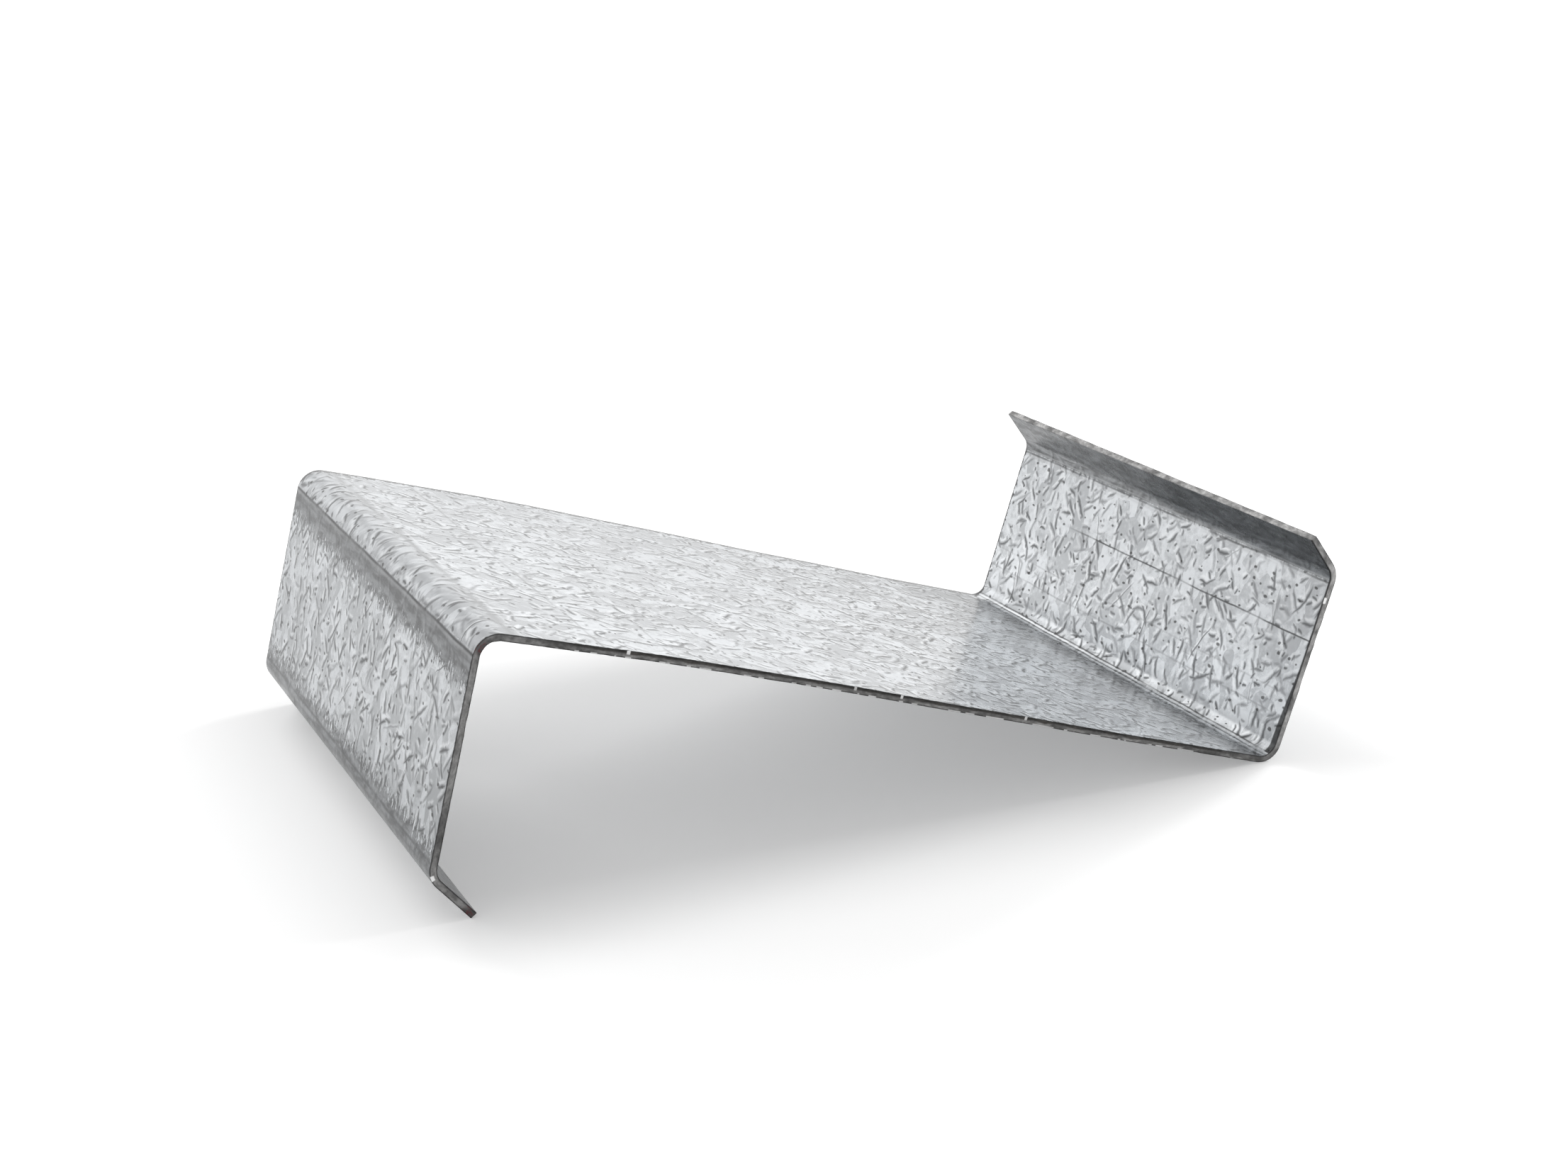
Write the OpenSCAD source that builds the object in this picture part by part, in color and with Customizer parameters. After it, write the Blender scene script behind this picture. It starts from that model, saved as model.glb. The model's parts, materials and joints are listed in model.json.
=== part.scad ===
// Z purlin: a short cut length of cold-rolled, galvanised roof or wall stock.
// One strip of sheet steel is folded into a Z with a wide flange, a narrow flange and a slanted
// stiffening lip along the edge of each. The wide flange of one piece laps over the narrow
// flange of the next. The piece lies unheld: it stands on the edge of its wide lip and on the
// bend beside its narrow flange, so the web slopes down to the right.

/* [Stock] */
// Length of the piece, along Y
length = 168; // [60:1:3000]
// Thickness of the sheet
sheet_t = 2; // [1:0.1:3.2]

/* [Web] */
// Depth of the section, over the outsides of the two web bends
web_depth = 250; // [180:1:350]
// Angle that the web curls down beside the wide flange
wide_curl_angle = 2.6; // [0:0.1:4]
// Length of web over which it curls beside the wide flange
wide_curl_run = 85; // [20:1:90]
// Angle that the web curls up beside the narrow flange
narrow_curl_angle = 0.8; // [0:0.1:4]
// Length of web over which it curls beside the narrow flange
narrow_curl_run = 50; // [10:1:60]

/* [Flanges] */
// Width of the wide flange, from the web's outside to the outer corner of its lip
wide_flange = 64; // [45:0.5:100]
// Width of the narrow flange, from the web's outside to the outer corner of its lip
narrow_flange = 59; // [40:0.5:95]
// Angle of the fold between the web and the wide flange
wide_fold_angle = 91.4; // [86:0.1:94]
// Angle of the fold between the web and the narrow flange
narrow_fold_angle = 89.2; // [86:0.1:94]
// Inside radius of the four folds
fold_r = 4.5; // [2:0.5:8]

/* [Lips] */
// Width of the lip on the wide flange, from its outer corner to the sheared edge
wide_lip = 16.5; // [12:0.5:30]
// Width of the lip on the narrow flange, from its outer corner to the sheared edge
narrow_lip = 15; // [12:0.5:30]
// Angle that each lip is folded in from the line of its flange
lip_fold_angle = 54; // [45:1:90]

/* [Hidden] */

// A facet of a tight fold turns through about this angle
facet_angle = 6;
// Facets in a gentle curl of the web
curl_facets = 8;

// Radius of the middle of the sheet in a fold
mid_r = fold_r + sheet_t / 2;
// Radius of the outside of a fold
outer_r = fold_r + sheet_t;

// How much of the strip's middle a fold through "turn" degrees takes up
function fold_run(turn) = mid_r * turn * PI / 180;
// From the sharp outer corner of a fold to where its round starts
function set_back(turn) = outer_r * tan(turn / 2);
// The straight reach of a stretch that curls through "turn" degrees, along its straight end
function reach(run, turn) = turn == 0 ? run : run * sin(turn) / (turn * PI / 180);

web_flat = web_depth - 2 * outer_r
    + mid_r * (sin(wide_curl_angle) + sin(narrow_curl_angle))
    - reach(wide_curl_run, wide_curl_angle)
    - reach(narrow_curl_run, narrow_curl_angle);

// The strip from one sheared edge to the other: each stretch has its length along the middle of
// the sheet and how far it turns, where a positive turn is to the left
strip = [
    [wide_lip - set_back(lip_fold_angle), 0],
    [fold_run(lip_fold_angle), -lip_fold_angle],
    [wide_flange - set_back(wide_fold_angle) - set_back(lip_fold_angle), 0],
    [fold_run(wide_fold_angle), -wide_fold_angle],
    [wide_curl_run, -wide_curl_angle],
    [web_flat, 0],
    [narrow_curl_run, narrow_curl_angle],
    [fold_run(narrow_fold_angle), narrow_fold_angle],
    [narrow_flange - set_back(narrow_fold_angle) - set_back(lip_fold_angle), 0],
    [fold_run(lip_fold_angle), lip_fold_angle],
    [narrow_lip - set_back(lip_fold_angle), 0]
];

function unit(angle) = [cos(angle), sin(angle)];

// From the start of a stretch to a point on it, "part" of the way along, when it starts along
// "heading": the chord of its arc
function step(stretch, part, heading) =
    let (turn = stretch[1] * part, run = stretch[0] * part)
    let (half = abs(turn) / 2)
    (half == 0 ? run : run * sin(half) / (half * PI / 180)) * unit(heading + turn / 2);

// Heading at the start of stretch k: the flat of the web has heading 0
function heading(k) = k == 0
    ? lip_fold_angle + wide_fold_angle + wide_curl_angle
    : heading(k - 1) + strip[k - 1][1];

// Place of the start of stretch k, on the middle of the sheet
function start(k) = k == 0
    ? [0, 0]
    : start(k - 1) + step(strip[k - 1], 1, heading(k - 1));

function facets(turn) =
    turn == 0 ? 1 : max(curl_facets, ceil(abs(turn) / facet_angle));

// One face of the sheet, "side" mm to the left of its middle
function face(side) = [
    for (k = [0 : len(strip) - 1])
        let (from = start(k), along = heading(k), n = facets(strip[k][1]))
        for (i = [k == 0 ? 0 : 1 : n])
            from + step(strip[k], i / n, along) + side * unit(along + strip[k][1] * i / n + 90)
];

function backwards(points) = [for (i = [len(points) - 1 : -1 : 0]) points[i]];

outline = concat(face(sheet_t / 2), backwards(face(-sheet_t / 2)));

// The outer corner of the wide lip's edge touches the floor. The floor's line through it is the
// one that clears everything to its right, so the section leans by that line's angle.
foot = outline[0];
lean = min([
    for (p = outline) if (p[0] > foot[0]) atan2(p[1] - foot[1], p[0] - foot[0])
]);

function turned(p, angle) = [
    p[0] * cos(angle) - p[1] * sin(angle),
    p[0] * sin(angle) + p[1] * cos(angle)
];

resting = [for (p = outline) turned(p, -lean)];
across = [for (p = resting) p[0]];
up = [for (p = resting) p[1]];
middle = (min(across) + max(across)) / 2;

// The section stands on the floor, with the middle of its width over the origin
module section() {
    translate([-middle, -min(up)]) polygon(resting);
}

module z_purlin() {
    color("silver")
        rotate([90, 0, 0])
            linear_extrude(height = length, center = true)
                section();
}

z_purlin();
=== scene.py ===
# %% [markdown]
# # A short length of galvanised Z purlin
#
# A purlin is the light steel beam that carries roof sheets from rafter to rafter. This one is
# rolled from a single strip of zinc-coated sheet: a deep sloping web, one flange down, one flange
# up, and a slanted lip along the free edge of each flange.
#
# The packed solid is exact, but it has flat facets and razor-sharp cut edges. The lesson makes
# the sheet again the way a mill does: cut a flat blank with its sheared edges, then fold it.

# %% Load the packed solid and keep its box
import json

import bpy
import numpy as np
from mathutils import Matrix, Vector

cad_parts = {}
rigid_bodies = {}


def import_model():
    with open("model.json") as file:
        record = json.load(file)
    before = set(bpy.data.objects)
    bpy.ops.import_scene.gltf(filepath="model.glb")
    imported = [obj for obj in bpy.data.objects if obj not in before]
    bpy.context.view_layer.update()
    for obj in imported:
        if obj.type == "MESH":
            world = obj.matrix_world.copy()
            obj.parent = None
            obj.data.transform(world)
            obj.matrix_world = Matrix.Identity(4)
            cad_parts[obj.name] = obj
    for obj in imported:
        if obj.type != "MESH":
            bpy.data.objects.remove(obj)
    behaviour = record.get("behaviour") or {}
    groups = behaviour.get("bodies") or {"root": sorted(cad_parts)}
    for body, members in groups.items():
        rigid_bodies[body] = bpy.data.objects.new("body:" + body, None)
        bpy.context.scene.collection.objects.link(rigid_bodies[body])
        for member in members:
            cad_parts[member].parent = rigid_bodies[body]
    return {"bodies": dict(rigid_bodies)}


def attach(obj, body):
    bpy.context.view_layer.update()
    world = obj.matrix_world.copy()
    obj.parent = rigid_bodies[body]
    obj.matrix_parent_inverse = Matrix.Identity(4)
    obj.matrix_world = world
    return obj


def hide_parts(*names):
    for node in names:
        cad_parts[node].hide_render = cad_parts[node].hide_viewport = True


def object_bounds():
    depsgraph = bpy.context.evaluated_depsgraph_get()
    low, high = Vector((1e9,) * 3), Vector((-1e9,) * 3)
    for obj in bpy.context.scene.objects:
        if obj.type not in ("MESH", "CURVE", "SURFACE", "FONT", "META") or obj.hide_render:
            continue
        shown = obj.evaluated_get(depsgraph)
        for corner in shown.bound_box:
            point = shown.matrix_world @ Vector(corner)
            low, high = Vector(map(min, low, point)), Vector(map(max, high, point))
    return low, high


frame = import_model()
cad_low, cad_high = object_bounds()
NODE = "z_purlin"
BODY = next(iter(frame["bodies"]))
print("solid's box in mm:", [round(1000 * v, 2) for v in (*cad_low, *cad_high)])

# %% [markdown]
# ## The sizes of the section
#
# A folded section is fully described by its driving sizes, and they are the same ones that the
# solid is made from: widths to the sharp outer corners, fold angles and one inside radius. They
# are written in millimetres because that is how a rolling mill states them. The web isn't quite
# flat: it curls a little beside each fold, where the rolls let go of it.

# %% Driving sizes, in millimetres and degrees
MM = 0.001
LENGTH = 168.0
SHEET = 2.0
WEB_DEPTH = 250.0
WIDE_FLANGE = 64.0
NARROW_FLANGE = 59.0
WIDE_LIP = 16.5
NARROW_LIP = 15.0
WIDE_FOLD = 91.4
NARROW_FOLD = 89.2
LIP_FOLD = 54.0
WIDE_CURL = 2.6
WIDE_CURL_RUN = 85.0
NARROW_CURL = 0.8
NARROW_CURL_RUN = 50.0
FOLD_R = 4.5
MID_R = FOLD_R + SHEET / 2
OUTER_R = FOLD_R + SHEET
print(f"{WEB_DEPTH:.0f} mm deep, flanges {WIDE_FLANGE:.0f} and {NARROW_FLANGE:.0f} mm")


# %% What a fold takes from the strip
def fold_run(turn):
    """Strip used up by a fold: the radius at the middle of the sheet times the angle."""
    return MID_R * np.radians(turn)


def set_back(turn):
    """From the sharp outer corner to where the round starts: outer radius times tan of half."""
    return OUTER_R * np.tan(np.radians(turn / 2))


def reach(run, turn):
    """Straight reach of a gently curled run: the run times sin(angle) over the angle."""
    return run * np.sinc(turn / 180)


print(f"a lip's fold takes {fold_run(LIP_FOLD):.2f} mm and starts {set_back(LIP_FOLD):.2f} mm "
      "from its corner")

# %% The strip, stretch by stretch
WEB_FLAT = (
    WEB_DEPTH - 2 * OUTER_R
    + MID_R * (np.sin(np.radians(WIDE_CURL)) + np.sin(np.radians(NARROW_CURL)))
    - reach(WIDE_CURL_RUN, WIDE_CURL) - reach(NARROW_CURL_RUN, NARROW_CURL)
)
# Each stretch of the strip: its name, its run along the middle of the sheet and its left turn
STRETCHES = [
    ("wide_lip", WIDE_LIP - set_back(LIP_FOLD), 0.0),
    ("wide_lip_fold", fold_run(LIP_FOLD), -LIP_FOLD),
    ("wide_flange", WIDE_FLANGE - set_back(WIDE_FOLD) - set_back(LIP_FOLD), 0.0),
    ("wide_fold", fold_run(WIDE_FOLD), -WIDE_FOLD),
    ("wide_curl", WIDE_CURL_RUN, -WIDE_CURL),
    ("web", WEB_FLAT, 0.0),
    ("narrow_curl", NARROW_CURL_RUN, NARROW_CURL),
    ("narrow_fold", fold_run(NARROW_FOLD), NARROW_FOLD),
    ("narrow_flange", NARROW_FLANGE - set_back(NARROW_FOLD) - set_back(LIP_FOLD), 0.0),
    ("narrow_lip_fold", fold_run(LIP_FOLD), LIP_FOLD),
    ("narrow_lip", NARROW_LIP - set_back(LIP_FOLD), 0.0),
]
NAMES = [name for name, _, _ in STRETCHES]
RUN = np.array([run for _, run, _ in STRETCHES])
TURN = np.array([turn for _, _, turn in STRETCHES])
START = np.concatenate([[0.0], np.cumsum(RUN)[:-1]])
STRIP = RUN.sum()
BEGIN = dict(zip(NAMES, START))
END = dict(zip(NAMES, START + RUN))
print(f"flat blank: {STRIP:.1f} x {LENGTH:.0f} x {SHEET:.0f} mm, web flat {WEB_FLAT:.1f} mm")

# %% [markdown]
# ## Folding as a function
#
# The middle of the sheet is a chain of straight runs and arcs. One could bend a mesh with a
# modifier, but a formula is exact and keeps the fold where it belongs: a point on an arc lies at
# the chord of the part of the arc walked so far, and the heading grows with the angle turned.


# %% Where the middle of the strip runs
def unit(angle):
    """Unit vectors at these angles in degrees, one row each."""
    return np.stack([np.cos(np.radians(angle)), np.sin(np.radians(angle))], axis=-1)


def walk(run, turn, heading):
    """Chord of an arc: run times sin(half turn) over half turn, along heading plus half turn."""
    return (run * np.sinc(turn / 360))[..., None] * unit(heading + turn / 2)


HEADING = LIP_FOLD + WIDE_FOLD + WIDE_CURL + np.concatenate([[0.0], np.cumsum(TURN)[:-1]])
ORIGIN = np.concatenate([np.zeros((1, 2)), np.cumsum(walk(RUN, TURN, HEADING), axis=0)[:-1]])
print("headings of the stretches in degrees:", HEADING.round(1))


# %% Any point of the sheet
def middle_line(s):
    """Place and heading of the sheet's middle at s mm along the strip."""
    k = np.clip(np.searchsorted(START, s, side="right") - 1, 0, len(RUN) - 1)
    part = (s - START[k]) / RUN[k]
    place = ORIGIN[k] + walk(RUN[k] * part, TURN[k] * part, HEADING[k])
    return place, HEADING[k] + TURN[k] * part


def off_middle(s, t):
    """A point t mm to the left of the sheet's middle: the middle plus t times its normal."""
    place, heading = middle_line(s)
    return place + t[..., None] * unit(heading + 90)


print("far edge of the folded strip in mm:", off_middle(np.full(1, STRIP), np.zeros(1))[0].round(2))

# %% [markdown]
# ## How it lies
#
# Left alone on a floor, the piece rests on the sheared edge of its wide lip and on the fold
# beside its narrow flange. The line through both is found as a supporting line from the lip's
# corner, and the section is turned until that line is level.


# %% Lean the section onto the floor
def turned(points, angle):
    """Points turned about the origin by the angle in degrees."""
    along, across = unit(angle), unit(angle + 90)
    return points[..., :1] * along + points[..., 1:] * across


PROBES = 4001
probe = np.linspace(0, STRIP, PROBES)
faces = np.concatenate([off_middle(probe, np.full(probe.shape, side)) for side in (1.0, -1.0)])
foot = off_middle(np.zeros(1), np.ones(1))[0]
ahead = faces[faces[:, 0] > foot[0] + SHEET / 2] - foot
LEAN = np.degrees(np.arctan2(ahead[:, 1], ahead[:, 0])).min()
level = turned(faces, -LEAN)
SHIFT = -np.array([(level[:, 0].min() + level[:, 0].max()) / 2, level[:, 1].min()])
print(f"lean {LEAN:.2f} degrees, section {np.ptp(level, axis=0).round(2)} mm")


# %% Fold a point of the blank
def folded(s, y, t):
    """World place in metres of a point of the flat blank: fold it, lean it, stand it."""
    across = turned(off_middle(s, t), -LEAN) + SHIFT
    return np.stack([across[..., 0], y, across[..., 1]], axis=-1) * MM


foot_place = folded(np.zeros(1), np.zeros(1), np.full(1, SHEET / 2))[0]
print("wide lip's lower corner in mm:", (foot_place / MM).round(3))

# %% [markdown]
# ## The flat blank
#
# A sheared blank is a very flat box. Its shell is made from a lattice: every lattice point on
# the outside gets a number, and each side of the box is a sheet of those numbers, so the sides
# share their edges and the shell is closed from the start. The lattice is fine where the strip
# folds and near the cuts, and coarse where nothing happens.


# %% A closed shell on a lattice
def box_shell(count):
    """Outside points (i, j, k) of a lattice and the quads of its six sides, facing outwards."""
    number = np.full(count, -1)
    outside = np.ones(count, bool)
    outside[1:-1, 1:-1, 1:-1] = False
    number[outside] = np.arange(outside.sum())

    def side_quads(side, flip):
        corners = [side[:-1, :-1], side[1:, :-1], side[1:, 1:], side[:-1, 1:]]
        quad = np.stack(corners, axis=-1).reshape(-1, 4)
        return quad[:, ::-1] if flip else quad

    sides = [
        side_quads(number[:, :, -1], False), side_quads(number[:, :, 0], True),
        side_quads(number[:, -1, :], True), side_quads(number[:, 0, :], False),
        side_quads(number[-1, :, :], False), side_quads(number[0, :, :], True),
    ]
    return np.argwhere(outside), np.concatenate(sides), np.repeat(range(6), [len(q) for q in sides])


print("quads of the smallest box with a middle point:", len(box_shell((3, 3, 3))[1]))

# %% Where the lattice has its lines
FOLD_STEP = 3.5  # degrees that one step turns in a fold
STRIP_PITCH = 1.2  # mm along the strip
LENGTH_PITCH = 4.0  # mm along the piece
NEAR_CUT = np.array([0.0, 0.06, 0.14, 0.25, 0.4, 0.6, 0.9])  # mm in from a cut
THROUGH = np.array([-1.0, -0.92, -0.8, -0.6, -0.25, 0.25, 0.6, 0.8, 0.92, 1.0])


def steps(run, turn):
    """Lattice lines in one stretch: as many as its turn or its run asks for."""
    return 2 + int(max(abs(turn) / FOLD_STEP, run / STRIP_PITCH))


def with_cuts(breaks, length):
    """Sorted breaks from 0 to length, with the fine ones beside both cuts."""
    return np.unique(np.concatenate([*breaks, NEAR_CUT, length - NEAR_CUT]).round(6))


along_strip = [START[k] + np.linspace(0, RUN[k], steps(RUN[k], TURN[k])) for k in range(len(RUN))]
along_piece = np.linspace(NEAR_CUT[-1], LENGTH - NEAR_CUT[-1], round(LENGTH / LENGTH_PITCH))
S_AT = with_cuts(along_strip, STRIP)
Y_AT = with_cuts([along_piece], LENGTH) - LENGTH / 2
T_AT = THROUGH * SHEET / 2
lattice, quads, side_of = box_shell((len(S_AT), len(Y_AT), len(T_AT)))
print(f"{len(S_AT)} x {len(Y_AT)} x {len(T_AT)} lattice, {2 * len(quads)} triangles")

# %% [markdown]
# ## Sheared edges
#
# A shear rolls the sheet's corner over and tears the rest, so no cut edge is sharp and none is
# even. The corner's radius wanders along the cut, and the torn face is a little rough. Both are
# worked into the flat blank as whole arrays. The roundness comes from clamping each point to an
# inner box and pushing it back out along the difference, which is the rounded-box formula.


# %% Wandering values along a cut
def wander(x, pitch, seed):
    """Smooth random values from 0 to 1: random knots a pitch apart, blended by a cosine."""
    knots = np.random.default_rng(seed).random(int(np.ceil(x.max() / pitch)) + 3)
    at = x / pitch
    k = np.floor(at).astype(int)
    blend = (1 - np.cos(np.pi * (at - k))) / 2
    return knots[k] * (1 - blend) + knots[k + 1] * blend


# Pitch of the knots in mm and seed
FINE_CHIPS = (1.7, 3)
COARSE_CHIPS = (6.0, 5)
ROLLED_CORNER = (4.0, 7)
TORN_FACE = (0.9, 11)
print("torn face along the strip, mean:", wander(S_AT, *TORN_FACE).mean().round(3))

# %% Round and tear the cut edges
UPPER_RADIUS = (0.16, 0.20)  # mm: the least, and what the wandering adds
UNDER_RADIUS = (0.12, 0.55)
TEAR_DEPTH = 0.10  # mm
TEAR_AT_CORNERS = 0.4  # share of the depth that is left at the sheet's faces
TEAR_ZONE = 0.9  # mm in from the sheared end
END_ZONE = 1.0


def sheared(s, y, t):
    """The blank's points with rounded, uneven cut edges and torn cut faces."""
    along_cut = np.where(np.abs(y) > LENGTH / 2 - END_ZONE, s, y + LENGTH / 2 + STRIP)
    chipped = wander(along_cut, *FINE_CHIPS) * wander(along_cut, *COARSE_CHIPS)
    upper = UPPER_RADIUS[0] + UPPER_RADIUS[1] * wander(along_cut, *ROLLED_CORNER)
    radius = np.where(t < 0, UNDER_RADIUS[0] + UNDER_RADIUS[1] * chipped, upper)[:, None]
    half = np.array([STRIP / 2, LENGTH / 2, SHEET / 2])
    point = np.stack([s - STRIP / 2, y, t], axis=-1)
    inner = np.clip(point, -(half - radius), half - radius)
    out = point - inner
    size = np.linalg.norm(out, axis=-1, keepdims=True)
    point = np.where(size > 0, inner + out / np.maximum(size, 1e-9) * radius, point)
    bulge = TEAR_AT_CORNERS + (1 - TEAR_AT_CORNERS) * (1 - (t / SHEET * 2) ** 2)
    on_end = np.clip((np.abs(y) - (LENGTH / 2 - TEAR_ZONE)) / TEAR_ZONE, 0, 1)
    point[:, 1] -= np.sign(y) * TEAR_DEPTH * wander(s, *TORN_FACE) * bulge * on_end
    return point[:, 0] + STRIP / 2, point[:, 1], point[:, 2]


i, j, k = lattice.T
flat_s, flat_y, flat_t = sheared(S_AT[i], Y_AT[j], T_AT[k])
print("length of the sheared blank in mm:", np.ptp(flat_y).round(3))

# %% Ripple the web and fold the blank
RIPPLE = 0.12  # mm either way
RIPPLE_FADE = 30.0  # mm from a fold to the full ripple


def rippled(s, y, t):
    """A slow wave of the web, as thin rolled sheet has: product of two sines, none at folds."""
    after = np.clip((s - BEGIN["wide_curl"]) / RIPPLE_FADE, 0, 1)
    before = np.clip((END["narrow_curl"] - s) / RIPPLE_FADE, 0, 1)
    wave = np.sin(s / 13.0 + y / 31.0) * np.sin(s / 29.0 - y / 23.0 + 1.0)
    return t + RIPPLE * after * before * wave


places = folded(flat_s, flat_y, rippled(flat_s, flat_y, flat_t))
print("folded box in mm:", (places.min(0) * 1000).round(2), (places.max(0) * 1000).round(2))

# %% [markdown]
# ## The mesh
#
# The arrays go into Blender in one step. Each vertex also keeps where it lay on the flat blank,
# as an attribute: the zinc grew its crystals on the flat strip before it was folded, so the
# pattern is drawn in the blank's own coordinates and runs round the folds without a seam.


# %% Put the folded sheet into Blender
def mesh_piece(name, points, faces, smooth=True):
    """A mesh object at the origin from arrays of points in metres and of quads."""
    mesh = bpy.data.meshes.new(name)
    mesh.from_pydata(points.tolist(), [], faces.tolist())
    mesh.polygons.foreach_set("use_smooth", np.full(len(faces), smooth))
    mesh.update()
    piece = bpy.data.objects.new(name, mesh)
    bpy.context.scene.collection.objects.link(piece)
    return piece


sheet = mesh_piece("folded_sheet", places, quads)
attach(sheet, BODY)
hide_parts(NODE)
print("folded sheet:", len(sheet.data.vertices), "vertices")

# %% Remember the flat blank
blank = np.stack([S_AT[i], Y_AT[j], T_AT[k]], axis=-1) * MM
sheet.data.attributes.new("blank", "FLOAT_VECTOR", "POINT").data.foreach_set("vector", blank.ravel())
print("attribute in mm up to:", (blank.max(0) / MM).round(1))

# %% [markdown]
# ## Building shader nodes by name
#
# Shader graphs are easier to read when a link is a call. The small helper below makes a node,
# sets its sockets from numbers or from other nodes' outputs, and hands back its output. Places
# on the blank are in metres, like all of Blender, so a second kind of ramp takes millimetres.


# %% A helper for shader nodes
class Graph:
    """Makes nodes in one tree: numbers set a socket, outputs of other nodes are linked to it."""

    def __init__(self, tree):
        self.tree = tree

    def node(self, kind, values=None, **settings):
        """A new node with its settings, and its sockets by name or number."""
        node = self.tree.nodes.new(kind)
        for name, value in settings.items():
            setattr(node, name, value)
        for name, value in (values or {}).items():
            self.put(node.inputs[name], value)
        return node

    def put(self, socket, value):
        """Link an output to the socket, or set the socket's own value."""
        if isinstance(value, bpy.types.NodeSocket):
            self.tree.links.new(value, socket)
        else:
            socket.default_value = value

    def math(self, operation, *values, clamp=False):
        """One sum on numbers."""
        values = dict(enumerate(values))
        return self.node("ShaderNodeMath", values, operation=operation, use_clamp=clamp).outputs[0]

    def vector(self, operation, *values):
        """One sum on vectors or colours."""
        made = self.node("ShaderNodeVectorMath", dict(enumerate(values)), operation=operation)
        return made.outputs["Value" if operation == "LENGTH" else "Vector"]

    def scaled(self, value, factor):
        """A vector or colour times a number."""
        values = {0: value, "Scale": factor}
        return self.node("ShaderNodeVectorMath", values, operation="SCALE").outputs["Vector"]

    def ramp(self, value, low, high, start=0.0, end=1.0):
        """Value from low..high smoothly onto start..end."""
        values = {"Value": value, "From Min": low, "From Max": high, "To Min": start, "To Max": end}
        return self.node("ShaderNodeMapRange", values, interpolation_type="SMOOTHSTEP").outputs[0]

    def ramp_mm(self, value, low, high, start=0.0, end=1.0):
        """The same ramp for a place in metres between limits in millimetres."""
        return self.ramp(value, low * MM, high * MM, start, end)

    def noise(self, place, scale, detail=2.0, rough=0.5, dimensions="2D"):
        """Fractal noise, with a value and a colour output."""
        values = {"Vector": place, "Scale": scale, "Detail": detail, "Roughness": rough}
        return self.node("ShaderNodeTexNoise", values, noise_dimensions=dimensions).outputs

    def cells(self, place, randomness=1.0):
        """Flat Voronoi cells one unit apart, with their distance, random colour and centre."""
        values = {"Vector": place, "Scale": 1.0, "Randomness": randomness}
        return self.node("ShaderNodeTexVoronoi", values, voronoi_dimensions="2D", feature="F1").outputs

    def parts(self, value):
        """The x, y and z of a vector."""
        return self.node("ShaderNodeSeparateXYZ", {0: value}).outputs

    def channels(self, colour):
        """The red, green and blue of a colour."""
        return self.node("ShaderNodeSeparateColor", {0: colour}).outputs

    def mix(self, factor, one, two, clamp=True):
        """Colour one where the factor is 0, colour two where it is 1."""
        node = self.node("ShaderNodeMix", data_type="RGBA", clamp_factor=clamp)
        self.put(node.inputs["Factor"], factor)
        self.put(node.inputs[6], one)
        self.put(node.inputs[7], two)
        return node.outputs[2]

    def use(self, tree, values):
        """A node that uses a group, and its outputs."""
        return self.node("ShaderNodeGroup", values, node_tree=tree).outputs


print("a graph makes:", ", ".join(name for name in vars(Graph) if not name.startswith("_")))


# %% Greys, groups and empty trees
def grey(value, warm=0.0):
    """A neutral grey with a little warmth (+) or coolness (-)."""
    return (value * (1 + warm), value, value * (1 - warm), 1.0)


def group(name, inputs, outputs):
    """A shader node group with named inputs and outputs, and its graph."""
    tree = bpy.data.node_groups.new(name, "ShaderNodeTree")
    for label, kind, default in inputs:
        socket = tree.interface.new_socket(label, in_out="INPUT", socket_type="NodeSocket" + kind)
        if default is not None:
            socket.default_value = default
    for label, kind in outputs:
        tree.interface.new_socket(label, in_out="OUTPUT", socket_type="NodeSocket" + kind)
    graph = Graph(tree)
    return tree, graph, graph.node("NodeGroupInput").outputs, graph.node("NodeGroupOutput").inputs


def empty_graph(holder):
    """The graph of a material or world, with nothing in it yet."""
    holder.use_nodes = True
    holder.node_tree.nodes.clear()
    return Graph(holder.node_tree)


print("a cool middle grey:", [round(v, 3) for v in grey(0.5, -0.03)])

# %% [markdown]
# ## Brush strokes on cells
#
# Molten zinc freezes on steel as flat feathery crystals, the spangle. Up close, most of what one
# sees of it is short, dark, slightly curved valleys between the crystals. Beside each valley a
# painted highlight is drawn, as if light caught the crystal's edge. Noise can't place such strokes
# one by one, but a Voronoi texture can: each of its cells knows its own centre and its own random
# colour. In every cell one stroke is drawn around the centre, and the random colour sets its
# direction, its bow and its length.
#
# The stroke's half width is w(1 - (x / l)^4), which tapers to nothing at both ends, and its
# middle follows the parabola y = -c x^2.

# %% Start the stroke group: the stroke's own coordinates
CELL_RANDOMNESS = 0.9

stroke_tree, g, put_in, put_out = group(
    "stroke",
    [("Place", "Vector", None), ("Shift", "Vector", None), ("Turn", "Float", 0.0),
     ("Spread", "Float", 1.0), ("Short", "Float", 0.2), ("Long", "Float", 0.5),
     ("Width", "Float", 0.07)],
    [("Valley", "Float"), ("Highlight", "Float")],
)
own = g.vector("ADD", put_in["Place"], put_in["Shift"])
cell = g.cells(own, CELL_RANDOMNESS)
dice = g.channels(cell["Color"])
double_spread = g.math("MULTIPLY", put_in["Spread"], 2.0)
swing = g.math("MULTIPLY", g.math("SUBTRACT", dice[0], 0.5), double_spread)
from_centre = g.vector("SUBTRACT", own, cell["Position"])
angle = g.math("ADD", swing, put_in["Turn"])
local = g.node("ShaderNodeVectorRotate", {"Vector": from_centre, "Angle": angle},
               rotation_type="Z_AXIS").outputs[0]
local = g.parts(local)
print("stroke group so far:", len(stroke_tree.nodes), "nodes")

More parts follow.
